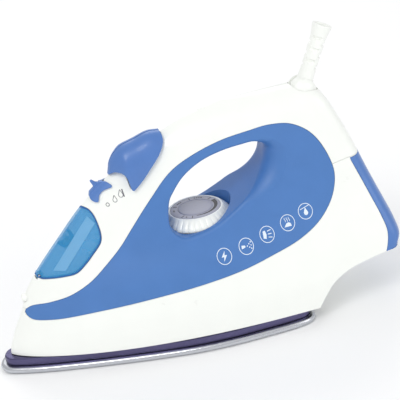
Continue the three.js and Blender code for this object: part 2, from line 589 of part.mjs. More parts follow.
add('spray_nozzle', rod(onNozzleAxis(-NOZZLE.proud), onNozzleAxis(NOZZLE.length), 0, NOZZLE.radius, 14)
  .subtract(rod(onNozzleAxis(-NOZZLE.proud - 2), onNozzleAxis(NOZZLE.length - 3), 0, 1, 8)), WHITE());

// ---- electrics in the rear -------------------------------------------------------

add('terminal_block', box(232, 250, -13, 13, 46, 58), DARK());
add('cord_clamp', box(222, 236, -8, 8, 128, 132), DARK());
for (const [name, y] of [['lead_left', -8], ['lead_right', 8]]) {
  add(name, tube(route([
    [231.6, y, 52], [215, y, 46], [195, y, 38], [178, y * 0.8, 31], [167.6, y * 0.7, 28],
  ]), 1.3, 6, 10), RUBBER());
}

// ---- cord turret and guard -------------------------------------------------------

const FOOT_RADIUS = 8.7;
const SLEEVE_RADIUS = 5.4;
const sphere = (radius, segments) => solid(new THREE.SphereGeometry(radius, segments, segments / 2));
const turretSlot = box(-22, 22, -SLEEVE_RADIUS - 0.5, SLEEVE_RADIUS + 0.5, 1, 20);
const turretDome = post(0, 0, -7, 2, TURRET_RADIUS, 16).add(sphere(TURRET_RADIUS, 16).intersect(box(-20, 20, -20, 20, 0, 20)))
  .subtract(sphere(FOOT_RADIUS + 0.4, 16))
  .subtract(turretSlot)
  .subtract(post(0, 0, -9, 1, 6, 16));
add('cord_turret', onGuardAxis(largest(turretDome)), WHITE());
const sleeve = lathe([
  [0, 0], [SLEEVE_RADIUS, 0], [SLEEVE_RADIUS, 12], [SLEEVE_RADIUS + 0.1, 36],
  [SLEEVE_RADIUS + 1.6, GUARD_LENGTH], [0, GUARD_LENGTH],
], 20);
add('cord_guard', onGuardAxis(sphere(FOOT_RADIUS, 16).add(sleeve)
  .subtract(post(0, 0, -10, GUARD_LENGTH + 4, CORD_BORE, 12))), WHITE());

export default iron;
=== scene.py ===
"""Looks of a steam iron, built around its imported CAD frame.

Shapes are worked out in millimetres: x back from the soleplate's nose, y to the iron's right and
z up from the ironing surface. `show` turns them into metres in the frame's own place.
"""

import json
import math

import bmesh
import bpy
import numpy as np
from mathutils import Matrix, Vector


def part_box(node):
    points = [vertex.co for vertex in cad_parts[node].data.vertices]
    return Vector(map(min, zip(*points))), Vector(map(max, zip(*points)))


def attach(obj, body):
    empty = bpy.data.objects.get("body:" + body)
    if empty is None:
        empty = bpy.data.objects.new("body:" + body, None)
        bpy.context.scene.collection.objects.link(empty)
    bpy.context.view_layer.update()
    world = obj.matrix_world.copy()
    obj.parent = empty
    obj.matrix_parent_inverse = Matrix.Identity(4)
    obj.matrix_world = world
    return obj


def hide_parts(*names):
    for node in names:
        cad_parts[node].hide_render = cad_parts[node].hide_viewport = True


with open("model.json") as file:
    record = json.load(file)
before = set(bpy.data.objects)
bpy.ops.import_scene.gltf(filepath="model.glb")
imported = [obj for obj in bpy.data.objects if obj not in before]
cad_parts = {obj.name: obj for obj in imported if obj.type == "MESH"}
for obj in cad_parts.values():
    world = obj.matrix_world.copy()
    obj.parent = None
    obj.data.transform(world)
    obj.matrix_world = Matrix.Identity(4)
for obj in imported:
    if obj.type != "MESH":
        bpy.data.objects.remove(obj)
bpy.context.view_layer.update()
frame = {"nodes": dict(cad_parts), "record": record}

MM = 0.001
NOSE_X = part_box("soleplate")[0].x


def mm_box(node):
    """Lowest and highest corner of a CAD node, in this script's millimetres."""
    return [np.array([(c.x - NOSE_X) / MM, c.y / MM, c.z / MM]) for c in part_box(node)]


# ---- driving dimensions ----------------------------------------------------------------

SOLE_LENGTH = 220
BASE_REAR = 221.4          # rear end of the form at its base
SOLE_THICKNESS = 4.4
SKIRT_BOTTOM = 10.5
FORM_BASE = 2.5            # the outer form goes below the skirt's foot, to here
HANDLE_TOP = 158.4
GRIP_MIDDLE = 137          # above this height the grip's top is an ellipse
WALL = 2.3
SHUT_GAP = 0.13            # half of the gap between two housings
NOSE_TAPER_LENGTH = 195    # how far back the plan goes on widening, at the base
NOSE_TAPER_SHRINK = 0.93   # and how much less of that per mm of height
NOSE_TAPER_POWER = 0.7
REAR_ROUNDING = 11
HEEL_FOOT = (289, 40.6)    # where the rear edge meets the underside
BODY_CENTRE = (150, 40)    # the side view is star-shaped about this point
REACH = 70                 # half-length of a cutter that goes right across

# Outlines in side view, as (x, z) pairs. The front edge runs up from the nose, the rear edge
# up from the heel's foot, and the underside back from the soleplate's rear.
FRONT_EDGE = [
    (8.6, FORM_BASE), (9, SKIRT_BOTTOM), (13.8, 24), (19.5, 35), (24, 43), (28, 53), (33.4, 61),
    (39.6, 68.4), (60.3, 89.9), (77.8, 107), (94.4, 120), (110, 130.5), (127, 140.5), (145, 148),
    (156.3, 152), (171, 156), (186, HANDLE_TOP),
]
REAR_EDGE = [
    HEEL_FOOT, (291.6, 46.4), (290.4, 53), (286.8, 65), (279.2, 88), (271.6, 111.4),
    (263.4, 132.5), (256.6, 147), (251, 153.5), (242, 157.4), (225, HANDLE_TOP),
]
UNDERSIDE = [
    (221.8, SKIRT_BOTTOM + 0.4), (226.6, 17.6), (235, 27), (247, 33.4), (262, 36.8), (275, 38.8),
    (284, 39.6), HEEL_FOOT,
]
# Half-width of the body's flank at each height, as (z, half-width) pairs.
FLANK = [
    (0, 51), (10.5, 50.6), (30, 49.3), (50, 43.5), (62, 37.8), (75, 31), (90, 25.5), (105, 21.6),
    (120, 19), (GRIP_MIDDLE, 17.6),
]
# The blue side body, and the handle opening inside it.
BODY_OUTLINE = [
    (25, 41.2), (27.8, 37.4), (40, 36.8), (73.8, 40.6), (114.9, 44.6), (142.8, 46.9),
    (171.6, 50.2), (194.3, 54.6), (218.5, 60.8), (236, 69.8), (247, 81.6), (251.8, 96),
    (248.5, 112.4), (240, 127.4), (227.1, 136.8), (212, 139.7), (199.1, 139.1), (177.7, 136.7),
    (155.9, 130.1), (140.7, 122.3), (123.5, 106.5), (105.6, 88.1), (96.6, 79), (83.8, 68.7),
    (71.5, 60), (56.6, 52.8), (42.6, 48.8), (30, 45.8),
]
HANDLE_OPENING = [
    (133.2, 85), (136, 102), (140.6, 108.6), (149.4, 117.4), (163, 125), (177.4, 128.8),
    (191, 130), (201.6, 129.6), (208, 124.6), (207.6, 115), (202.6, 105.5), (195, 97.5),
    (187, 92.5), (178, 87.5), (165, 81.5), (150, 78), (139, 78),
]
HEEL_CAP_TOP = 104
# Front edge of the heel cap, from its foot up.
HEEL_CAP_EDGE = [
    (268, 26), (276.8, 43), (278.8, 52), (277.2, 62), (273.6, 75), (269.6, 88),
    (264.6, HEEL_CAP_TOP - 1),
]
BEHIND = 300               # an x behind the whole iron
ABOVE = 200                # and a height above it
# The thumb buttons: from the front of the ridge, down and back, then forward over the crown.
BUTTON_OUTLINE = [
    (100.2, 125.4), (104, 127.8), (107.6, 128.3), (110.6, 126.4), (112.2, 122), (113.8, 115),
    (119.5, 118.8), (128.5, 127.8), (137, 137), (141, 144), (140.4, 148.4), (134, 149.2),
    (122, 146.2), (113, 143.8), (107.5, 140), (103, 134),
]
CROWN_START = 10           # the crown is the rest of the button outline from this point
# The filler door. Its last two points lie inside the body, below the ridge.
DOOR_OUTLINE = [
    (37.6, 66), (41, 64.1), (47, 64.2), (56, 65), (64.6, 66.6), (72, 71.6), (78, 76.9),
    (85, 84), (86.4, 88), (86.3, 94.6), (84.4, 103), (81.4, 106.4), (75, 107.2), (60, 96), (38, 74),
]
RIDGE_SLOPE = math.atan2(13, 16.6)    # of the front ridge where the selector slides

# ---- curves ----------------------------------------------------------------------------


def monotone(pairs):
    """A smooth curve through (in, out) pairs that never overshoots them."""
    xs, ys = np.array(sorted(pairs), float).T
    steps = np.diff(ys) / np.diff(xs)
    before = np.concatenate((steps[:1], steps))
    after = np.concatenate((steps, steps[-1:]))
    agree = before * after > 0
    slopes = np.where(agree, 2 * before * after / np.where(agree, before + after, 1), 0)

    def value(where):
        t = np.clip(where, xs[0], xs[-1])
        k = np.clip(np.searchsorted(xs, t, side="right") - 1, 0, len(xs) - 2)
        h = xs[k + 1] - xs[k]
        s = (t - xs[k]) / h
        return ((1 + 2 * s) * (1 - s) ** 2 * ys[k] + s * (1 - s) ** 2 * h * slopes[k]
                + s * s * (3 - 2 * s) * ys[k + 1] + s * s * (s - 1) * h * slopes[k + 1])

    return value


front_edge_at = monotone([(z, x) for x, z in FRONT_EDGE])
rear_edge_at = monotone([(z, x) for x, z in REAR_EDGE])
flank_at = monotone(FLANK)


def half_width(x, z):
    """Half-width of the whole body at a point of its side view."""
    over = np.clip((z - GRIP_MIDDLE) / (HANDLE_TOP - GRIP_MIDDLE), 0, 1)
    taper = NOSE_TAPER_LENGTH - NOSE_TAPER_SHRINK * (z - SKIRT_BOTTOM)
    front = np.clip((x - front_edge_at(z)) / taper, 0, 1)
    rear = np.clip((rear_edge_at(z) - x) / REAR_ROUNDING, 0, 1)
    plan = np.sin(math.pi / 2 * front ** NOSE_TAPER_POWER) * (1 - (1 - rear) ** 3) ** (1 / 3)
    return flank_at(z) * np.sqrt(1 - over * over) * plan


def smoothstep(t):
    """Eases from 0 to 1 as t goes from 0 to 1."""
    t = np.clip(t, 0, 1)
    return t * t * (3 - 2 * t)


def spaced(points, step, closed=False):
    """Points about `step` apart along a polyline."""
    line = np.array(points, float)
    if closed:
        line = np.concatenate((line, line[:1]))
    along = np.concatenate(([0], np.cumsum(np.linalg.norm(np.diff(line, axis=0), axis=1))))
    count = max(2, int(round(along[-1] / step)))
    marks = np.linspace(0, along[-1], count + 1)
    out = np.stack([np.interp(marks, along, axis) for axis in line.T], axis=1)
    return out[:-1] if closed else out


def smooth(points, step, closed=False):
    """Points about `step` apart along a centripetal Catmull-Rom curve."""
    line = np.array(points, float)
    if closed:
        line = np.concatenate((line[-1:], line, line[:2]))
    else:
        line = np.concatenate((2 * line[:1] - line[1:2], line, 2 * line[-1:] - line[-2:-1]))
    s = np.linspace(0, 1, 16, endpoint=False)[:, None]
    dense = []
    for a, b, c, d in zip(line, line[1:], line[2:], line[3:]):
        t1, t2, t3 = (math.sqrt(np.linalg.norm(q - p)) for p, q in ((a, b), (b, c), (c, d)))
        start = (c - b) + t2 * ((b - a) / t1 - (c - a) / (t1 + t2))
        end = (c - b) + t2 * ((d - c) / t3 - (d - b) / (t2 + t3))
        dense.append((1 + 2 * s) * (1 - s) ** 2 * b + s * (1 - s) ** 2 * start
                     + s * s * (3 - 2 * s) * c + s * s * (s - 1) * end)
    if not closed:
        dense.append(line[-2:-1])
    return spaced(np.concatenate(dense), step, closed)


def outward(outline):
    """Unit vectors that point out of a closed outline, one for each of its points."""
    line = np.array(outline, float)
    x, z = line.T
    area = np.sum(x * np.roll(z, -1) - z * np.roll(x, -1))
    along = np.roll(line, -1, axis=0) - np.roll(line, 1, axis=0)
    normal = np.stack((along[:, 1], -along[:, 0]), axis=1) * np.sign(area)
    return normal / np.linalg.norm(normal, axis=1)[:, None]


def grow(outline, distance):
    """A closed outline moved outward by a distance (inward when it is negative)."""
    return np.array(outline, float) + outward(outline) * np.reshape(distance, (-1, 1))


# ---- solids ----------------------------------------------------------------------------


def closed_mesh(points, faces):
    """A closed mesh whose faces point out."""
    shape = bmesh.new()
    corners = [shape.verts.new(p) for p in np.asarray(points, float)]
    for face in faces:
        shape.faces.new([corners[k] for k in face])
    bmesh.ops.recalc_face_normals(shape, faces=shape.faces)
    mesh = bpy.data.meshes.new("work")
    shape.to_mesh(mesh)
    shape.free()
    return mesh


def loft(rows, looped=False):
    """Closed rows of equally many points, joined one to the next and capped at both ends, or
    with the last row joined to the first."""
    count = len(rows[0])
    faces = []
    pairs = [(k, k + 1) for k in range(len(rows) - 1)] + ([(len(rows) - 1, 0)] if looped else [])
    for a, b in pairs:
        for k in range(count):
            n = (k + 1) % count
            faces.append((a * count + k, a * count + n, b * count + n, b * count + k))
    if not looped:
        last = (len(rows) - 1) * count
        faces.append(tuple(range(count)))
        faces.append(tuple(range(last + count - 1, last - 1, -1)))
    return closed_mesh(np.concatenate(rows), faces)


def prism(outline, y0=-REACH, y1=REACH):
    """A side-view outline (x, z) carried across the iron."""
    line = np.array(outline, float)
    return loft([np.insert(line, 1, y, axis=1) for y in (y0, y1)])


def slab(outline, z0, z1):
    """A plan outline (x, y) carried upward."""
    line = np.array(outline, float)
    return loft([np.insert(line, 2, z, axis=1) for z in (z0, z1)])


def lathe(profile, segments=64, bend=None):
    """A round solid about a vertical axis from (radius, z) pairs. bend(angle, radius, z) gives
    the radius and z to use instead."""
    rows = []
    for radius, height in profile:
        ring = []
        for k in range(segments):
            angle = 2 * math.pi * k / segments
            r, z = bend(angle, radius, height) if bend else (radius, height)
            ring.append((r * math.cos(angle), r * math.sin(angle), z))
        rows.append(np.array(ring))
    return loft(rows)


def placed(mesh, matrix):
    """The mesh itself, moved by a matrix."""
    mesh.transform(matrix)
    return mesh


def box(x0, x1, y0, y1, z0, z1):
    return slab([(x0, y0), (x1, y0), (x1, y1), (x0, y1)], z0, z1)


def post(x, y, z0, z1, radius, segments=48):
    """An upright cylinder."""
    return placed(lathe([(radius, z0), (radius, z1)], segments), Matrix.Translation((x, y, 0)))


def ball(radius, segments=64):
    """A ball about the origin, with a tiny flat at each pole."""
    angles = np.radians(np.linspace(-89, 89, segments // 2))
    return lathe(np.stack((radius * np.cos(angles), radius * np.sin(angles)), axis=1), segments)


def rod(start, end, radius, segments=32):
    """A round rod between two points of the side view."""
    (x0, z0), (x1, z1) = start, end
    lean = Matrix.Rotation(math.atan2(x1 - x0, z1 - z0), 4, "Y")
    length = math.hypot(x1 - x0, z1 - z0)
    return placed(post(0, 0, 0, length, radius, segments), Matrix.Translation((x0, 0, z0)) @ lean)


def combine(body, tool, operation):
    """A new mesh: the body with the tool taken away, added, or what both have in common."""
    pair = [bpy.data.objects.new("work", mesh) for mesh in (body, tool)]
    for one in pair:
        bpy.context.scene.collection.objects.link(one)
    modifier = pair[0].modifiers.new("combine", "BOOLEAN")
    modifier.solver = "MANIFOLD"
    modifier.operation = operation
    modifier.object = pair[1]
    graph = bpy.context.evaluated_depsgraph_get()
    result = bpy.data.meshes.new_from_object(pair[0].evaluated_get(graph))
    for one in pair:
        bpy.data.objects.remove(one)
    return result


def cut(body, *tools):
    for tool in tools:
        body = combine(body, tool, "DIFFERENCE")
    return body


def join(body, *tools):
    for tool in tools:
        body = combine(body, tool, "UNION")
    return body


def common(body, *tools):
    for tool in tools:
        body = combine(body, tool, "INTERSECT")
    return body


def largest(mesh):
    """The biggest connected part of a mesh."""
    shape = bmesh.new()
    shape.from_mesh(mesh)
    left = set(shape.verts)
    parts = []
    while left:
        front = [left.pop()]
        part = set(front)
        while front:
            for edge in front.pop().link_edges:
                for corner in edge.verts:
                    if corner in left:
                        left.discard(corner)
                        part.add(corner)
                        front.append(corner)
        parts.append(part)
    keep = max(parts, key=len)
    bmesh.ops.delete(shape, geom=[v for v in shape.verts if v not in keep], context="VERTS")
    shape.to_mesh(mesh)
    shape.free()
    return mesh


def softened(mesh, voxel, rounds):
    """The mesh remade of even small faces, with its edges rounded as moulded ones are."""
    one = bpy.data.objects.new("work", mesh)
    bpy.context.scene.collection.objects.link(one)
    remesh = one.modifiers.new("remesh", "REMESH")
    remesh.mode = "VOXEL"
    remesh.voxel_size = voxel
    relax = one.modifiers.new("relax", "SMOOTH")
    relax.factor = 0.5
    relax.iterations = rounds
    graph = bpy.context.evaluated_depsgraph_get()
    result = bpy.data.meshes.new_from_object(one.evaluated_get(graph))
    bpy.data.objects.remove(one)
    return result


SHARP = math.radians(34)    # edges that turn more than this stay crisp


def show(name, mesh, material, body, replaces=()):
    """The finished piece: in metres, in the frame, riding on its body."""
    mesh.transform(Matrix.Translation((NOSE_X, 0, 0)) @ Matrix.Diagonal((MM, MM, MM, 1)))
    mesh.shade_smooth()
    mesh.set_sharp_from_angle(angle=SHARP)
    mesh.materials.clear()
    mesh.materials.append(material)
    mesh.name = name
    piece = bpy.data.objects.new(name, mesh)
    bpy.context.scene.collection.objects.link(piece)
    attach(piece, body)
    if replaces:
        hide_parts(*replaces)
    return piece


# ---- materials -------------------------------------------------------------------------


def linear(*srgb):
    """A colour given as 0-255 sRGB, as the linear colour that shaders take."""
    parts = [c / 255 for c in srgb]
    return tuple(c / 12.92 if c < 0.04045 else ((c + 0.055) / 1.055) ** 2.4 for c in parts) + (1,)


def material(name, colour, roughness, metallic=0, mottle=0.03, mottle_scale=60, grain=0.02,
             grain_scale=2500, stretch=(1, 1, 1), coat=0, alpha=1, spread=0.06, ior=1.5):
    """A finish with faint cloudy colour, uneven gloss and a fine surface grain. Scales are
    per metre; `spread` is how far the roughness strays to each side."""
    made = bpy.data.materials.new(name)
    made.use_nodes = True
    nodes, link = made.node_tree.nodes, made.node_tree.links.new
    shader = nodes["Principled BSDF"]
    shader.inputs["Metallic"].default_value = metallic
    shader.inputs["Coat Weight"].default_value = coat
    shader.inputs["Coat Roughness"].default_value = 0.08
    shader.inputs["IOR"].default_value = ior
    shader.inputs["Alpha"].default_value = alpha
    place = nodes.new("ShaderNodeTexCoord")
    scale = nodes.new("ShaderNodeMapping")
    scale.inputs["Scale"].default_value = stretch
    link(place.outputs["Object"], scale.inputs["Vector"])
    cloud = nodes.new("ShaderNodeTexNoise")
    cloud.inputs["Scale"].default_value = mottle_scale
    cloud.inputs["Detail"].default_value = 4
    link(scale.outputs["Vector"], cloud.inputs["Vector"])
    tint = nodes.new("ShaderNodeValToRGB")
    light = tuple(min(1, c * (1 + mottle)) for c in colour[:3]) + (1,)
    dark = tuple(c * (1 - mottle) for c in colour[:3]) + (1,)
    tint.color_ramp.elements[0].color = dark
    tint.color_ramp.elements[0].position = 0.3
    tint.color_ramp.elements[1].color = light
    tint.color_ramp.elements[1].position = 0.7
    link(cloud.outputs["Fac"], tint.inputs["Fac"])
    link(tint.outputs["Color"], shader.inputs["Base Color"])
    gloss = nodes.new("ShaderNodeMapRange")
    gloss.inputs["To Min"].default_value = max(0.02, roughness - spread)
    gloss.inputs["To Max"].default_value = roughness + spread
    link(cloud.outputs["Fac"], gloss.inputs["Value"])
    link(gloss.outputs["Result"], shader.inputs["Roughness"])
    fine = nodes.new("ShaderNodeTexNoise")
    fine.inputs["Scale"].default_value = grain_scale
    fine.inputs["Detail"].default_value = 2
    link(scale.outputs["Vector"], fine.inputs["Vector"])
    bump = nodes.new("ShaderNodeBump")
    bump.inputs["Strength"].default_value = grain
    bump.inputs["Distance"].default_value = 0.0004
    link(fine.outputs["Fac"], bump.inputs["Height"])
    link(bump.outputs["Normal"], shader.inputs["Normal"])
    return made


WHITE = material("gloss_white_plastic", linear(243, 245, 240), 0.3, mottle=0.008, grain=0.05,
                 coat=0.25)
BLUE = material("satin_blue_plastic", linear(72, 120, 184), 0.42, grain=0.16, grain_scale=3200)
DEEP_BLUE = material("blue_key_plastic", linear(78, 120, 186), 0.36, grain=0.1, coat=0.15)
CLEAR = material("clear_blue_plastic", linear(48, 160, 220), 0.08, mottle=0.05, mottle_scale=30,
                 grain=0.02, alpha=0.5, coat=0.6)
CLEAR_RIM = material("clear_blue_edge", linear(28, 92, 158), 0.14, mottle=0.05, coat=0.4)
# painted highlight: a pale band seen through the clear door
DOOR_HIGHLIGHT = material("painted_door_highlight", linear(196, 226, 240), 0.3, mottle=0.04)
SMOKED = material("smoked_clear_plastic", linear(176, 208, 226), 0.12, mottle=0.04, alpha=0.5)
DIAL_GREY = material("dial_grey_print", linear(158, 158, 170), 0.4, mottle=0.03, grain=0.08)
INK = material("black_print", linear(38, 38, 44), 0.5, mottle=0.1)
GREY_INK = material("grey_print", linear(96, 96, 104), 0.5, mottle=0.1)
WHITE_INK = material("white_print", linear(226, 236, 246), 0.5, mottle=0.02)
SOLE = material("brushed_sole_steel", linear(200, 202, 208), 0.26, 1, mottle=0.05, grain=0.25,
                grain_scale=1800, stretch=(0.06, 1, 1), spread=0.08)
# painted reflection and shade: the dark purple stands for what the groove above the soleplate
# reflects
CASTING_REFLECTION = material("casting_painted_reflection", linear(92, 88, 122), 0.24, 1, mottle=0.12, grain=0.12,
                grain_scale=900, stretch=(0.1, 1, 1))
CAST = material("raw_cast_alloy", linear(150, 152, 156), 0.5, 1, mottle=0.12, grain=0.5,
                grain_scale=1400)
STEEL = material("plated_steel", linear(196, 198, 202), 0.24, 1, mottle=0.05, grain=0.1)
BRASS = material("turned_brass", linear(190, 150, 80), 0.3, 1, mottle=0.08, grain=0.12)
RUBBER = material("grey_rubber", linear(120, 122, 126), 0.75, mottle=0.06, grain=0.4)
DARK = material("dark_moulding", linear(40, 40, 46), 0.55, mottle=0.08, grain=0.3)
AMBER = material("amber_lens", linear(232, 120, 40), 0.12, mottle=0.06, alpha=0.85, coat=0.5)
ORIFICE = material("nozzle_orifice", linear(196, 150, 128), 0.45, mottle=0.08)

# ---- the body's outer form -------------------------------------------------------------

OUTLINE_STEP = 2.4


def edge_line(edge_at, start, end):
    """Evenly spaced points of an edge curve between two heights."""
    heights = np.linspace(start, end, 1200)
    return spaced(np.stack((edge_at(heights), heights), axis=1), OUTLINE_STEP)


front_line = edge_line(front_edge_at, FORM_BASE, HANDLE_TOP)
rear_line = edge_line(rear_edge_at, HANDLE_TOP, REAR_EDGE[0][1])
silhouette = np.concatenate((
    front_line,
    spaced([front_line[-1], rear_line[0]], OUTLINE_STEP)[1:-1],
    rear_line,
    smooth(UNDERSIDE[::-1], OUTLINE_STEP)[1:],
    spaced([(BASE_REAR, FORM_BASE), front_line[0]], 8)[:-1],
))


def body_form(offset, rings=36):
    """The whole body as one solid whose skin is moved outward by `offset` mm. It reaches below
    the skirt's foot, so that a cavity cut with it is open below."""
    rim = grow(silhouette, offset) if offset else silhouette
    centre = np.array(BODY_CENTRE, float)
    inward = max(-offset, 0)
    reaches = [1 - (k / rings) ** 1.7 for k in range(rings)]
    sides = []
    for side in (-1, 1):
        for reach in reaches:
            x, z = (centre + reach * (rim - centre)).T
            width = np.minimum(half_width(x, z), half_width(x + inward, z)) + offset
            sides.append(np.stack((x, side * np.maximum(0.02 + inward / 50, width), z), axis=1))
    count = len(silhouette)
    middle = half_width(*centre) + offset
    poles = [(centre[0], side * middle, centre[1]) for side in (-1, 1)]
    points = np.concatenate(sides + [poles])
    faces = []
    for k in range(count):
        n = (k + 1) % count
        for side in (0, 1):
            base = side * rings * count
            for r in range(rings - 1):
                a = base + r * count
                faces.append((a + k, a + n, a + count + n, a + count + k))
            last = base + (rings - 1) * count
            faces.append((last + k, last + n, 2 * rings * count + side))
        faces.append((k, n, rings * count + n, rings * count + k))
    return closed_mesh(points, faces)


def skin(outer, inner, rings=36):
    """The layer of the body between two offsets from its surface."""
    return cut(body_form(outer, rings), body_form(inner, rings))


SOLID_NOSE = 15            # the body isn't hollow ahead of this x
trimmed = common(body_form(0), box(-20, 320, -REACH, REACH, SKIRT_BOTTOM, ABOVE))
hollow = cut(body_form(-WALL, 20), box(-20, SOLID_NOSE, -REACH, REACH, 0, 60))

opening = smooth(HANDLE_OPENING, 2, closed=True)
opening_out = outward(opening)
# The opening's edge is rounded, most of all at the rear, where it is scooped out.
EDGE_ROUNDING = 2.2
SCOOP = 12
scooped = smoothstep((opening[:, 0] - 184) / 24) * smoothstep((131 - opening[:, 1]) / 12)
rounding = EDGE_ROUNDING + SCOOP * scooped


def opening_cutter():
    """The handle opening, flared by the rounding where it meets both flanks."""
    half = []
    for angle in np.radians(np.linspace(0, 84, 12)):
        out = rounding * (1 - math.cos(angle))
        x, z = (opening + opening_out * out[:, None]).T
        half.append(np.stack((x, half_width(x, z) - rounding * (1 - math.sin(angle)), z), axis=1))
    x, z = (opening + opening_out * rounding[:, None]).T
    half.append(np.stack((x, half_width(x, z) + 3, z), axis=1))
    half.append(np.stack((x, np.full(len(x), float(REACH)), z), axis=1))
    mirrored = [row * (1, -1, 1) for row in half[::-1]]
    return loft(mirrored + half)


tunnel = prism(grow(opening, 0.75 * rounding + 1.5))
housing = cut(trimmed, opening_cutter(), cut(hollow, tunnel))

body_outline = smooth(BODY_OUTLINE, 2, closed=True)
heel_edge = smooth(HEEL_CAP_EDGE, 2)
heel_region = np.concatenate((heel_edge, [(BEHIND, HEEL_CAP_TOP + 2), (BEHIND, 20)]))


def cover_region(drop):
    """Everything above the line on which the top cover parts from the skirt."""
    return [
        (-5, 47 - drop), (26, 43.5 - drop), (56, 48), (84, 62), (106, 80), (125, 98), (150, 110),
        (200, 125), (238, 120), (248, 101.5 - drop), (262, 103.6 - drop),
        (BEHIND, HEEL_CAP_TOP + 2.6 - drop), (BEHIND, ABOVE), (-5, ABOVE),
    ]


outside = cut(housing.copy(), prism(grow(body_outline, SHUT_GAP)),
              prism(grow(heel_region, 2 * SHUT_GAP)))
cover_shell = largest(common(outside.copy(), prism(cover_region(0))))
skirt_shell = largest(cut(outside, prism(cover_region(2 * SHUT_GAP))))
heel_shell = largest(common(housing.copy(), prism(heel_region)))
side_shell = largest(common(housing, prism(grow(body_outline, -SHUT_GAP))))

# ---- side body -------------------------------------------------------------------------

dial_low, dial_high = mm_box("thermostat_dial")
DIAL_X = (dial_low[0] + dial_high[0]) / 2
DIAL_RADIUS = (dial_high[0] - dial_low[0]) / 2
WELL_FLOOR = dial_low[2] - 0.9
WELL_TOP = WELL_FLOOR + 16
WELL_RADIUS = DIAL_RADIUS + 0.6
WELL_WALL = 1.6
SHAFT_HOLE_RADIUS = 3.4
well_cup = cut(common(post(DIAL_X, 0, WELL_FLOOR - WALL, WELL_TOP, WELL_RADIUS + WELL_WALL, 96),
                      body_form(-0.3, 20)), opening_cutter())
side = cut(join(side_shell, well_cup),
           post(DIAL_X, 0, WELL_FLOOR, WELL_TOP + 0.1, WELL_RADIUS, 96),
           post(DIAL_X, 0, WELL_FLOOR - 16, WELL_TOP, SHAFT_HOLE_RADIUS, 32))
show("blue_side_body", largest(side), BLUE, "iron", ["side_body"])

# ---- top cover, skirt and heel -----------------------------------------------------------

door_edge = smooth(DOOR_OUTLINE, 1.2, closed=True)
DOOR_GAP = 0.35
PAD_RIM = 2.2              # how far a pocket's floor goes on under the cover around it
door_pocket = common(skin(1, -2.2, 30), prism(grow(door_edge, DOOR_GAP)))
door_pad = common(skin(-0.8, -4.4, 20), prism(grow(door_edge, PAD_RIM)))
FILLER_AXIS = ((58.5, 93), (74.5, 75))
FILLER_BORE_RADIUS = 7
filler_bore = rod(*FILLER_AXIS, FILLER_BORE_RADIUS, 48)
hinge_low, hinge_high = mm_box("door_hinge_pin")
HINGE = ((hinge_low[0] + hinge_high[0]) / 2, (hinge_low[2] + hinge_high[2]) / 2)
KNUCKLE_HALF = 2.6
KNUCKLE_RADIUS = 2.1


def crosswise(half, radius, segments=32):
    """A round pin on the door's hinge axis."""
    turn = Matrix.Translation((HINGE[0], 0, HINGE[1])) @ Matrix.Rotation(math.pi / 2, 4, "X")
    return placed(post(0, 0, -half, half, radius, segments), turn)


SELECTOR_AT = (91.8, 118)
SELECTOR_TRAVEL = frame["record"]["behaviour"]["joints"][1]["range_m"][1] / MM


def on_ridge(mesh):
    """A mesh laid out along and above the front ridge, moved to the selector's middle."""
    turn = Matrix.Rotation(-RIDGE_SLOPE, 4, "Y")
    return placed(mesh, Matrix.Translation((SELECTOR_AT[0], 0, SELECTOR_AT[1])) @ turn)


SLOT_HALF = 2.2
SLOT_HALF_WIDTH = 2.1
slot_cut = on_ridge(box(-SLOT_HALF, SLOT_HALF + SELECTOR_TRAVEL, -SLOT_HALF_WIDTH, SLOT_HALF_WIDTH,
                        -6, 3))
WELL_HALF = 8.3            # half-width of the slot for the buttons' stems
GUARD_TILT = math.radians(25.8)
GUARD_PIVOT = (243.4, 152.4)


def on_guard_axis(mesh):
    """A mesh drawn about +Z from the guard's pivot, leant back as the guard is."""
    turn = Matrix.Rotation(GUARD_TILT, 4, "Y")
    return placed(mesh, Matrix.Translation((GUARD_PIVOT[0], 0, GUARD_PIVOT[1])) @ turn)


TURRET_RADIUS = 10.4
TURRET_GAP = 0.3
NOZZLE = (27.4, 50.2)
NOZZLE_LEAN = 0.12         # how far the nozzle's axis falls per mm back
NOZZLE_HOLE_RADIUS = 3.25
LAMP_HOLE_RADIUS = 3.15
LAMP_Z = 124
lamp_lean = math.atan2(float(rear_edge_at(LAMP_Z - 8) - rear_edge_at(LAMP_Z + 8)), 16)
lamp_axis = np.array((math.cos(lamp_lean), math.sin(lamp_lean)))
lamp_at = np.array((float(rear_edge_at(LAMP_Z)), LAMP_Z))

button_edge = smooth(BUTTON_OUTLINE, 1, closed=True)
BUTTON_GAP = 0.4
button_well = prism(grow(button_edge, BUTTON_GAP), -WELL_HALF, WELL_HALF)
button_pocket = common(skin(1, -2.7, 30), prism(grow(button_edge, BUTTON_GAP)))
button_pad = common(skin(-0.8, -4.8, 20), prism(grow(button_edge, PAD_RIM)))
cover = cut(join(cover_shell, door_pad, button_pad), door_pocket, button_pocket, filler_bore,
            crosswise(KNUCKLE_HALF + 1.2, KNUCKLE_RADIUS + 1), slot_cut, button_well,
            rod((NOZZLE[0] - 10, NOZZLE[1] + 10 * NOZZLE_LEAN),
                (NOZZLE[0] + 13, NOZZLE[1] - 13 * NOZZLE_LEAN), NOZZLE_HOLE_RADIUS),
            rod(lamp_at - 20 * lamp_axis, lamp_at + 10 * lamp_axis, LAMP_HOLE_RADIUS),
            on_guard_axis(post(0, 0, -16, 20, TURRET_RADIUS + TURRET_GAP, 64)))
show("white_top_cover", largest(cover), WHITE, "iron", ["top_cover"])
show("white_skirt", skirt_shell, WHITE, "iron", ["lower_skirt"])
screw_low, screw_high = mm_box("heel_screw")
SCREW_Z = (screw_low[2] + screw_high[2]) / 2
SCREW_HOLE_RADIUS = 3.6
heel = cut(heel_shell, rod((250, SCREW_Z), (BEHIND, SCREW_Z), SCREW_HOLE_RADIUS))
show("blue_heel_cap", largest(heel), DEEP_BLUE, "iron", ["heel_cap"])

# ---- filler door -------------------------------------------------------------------------

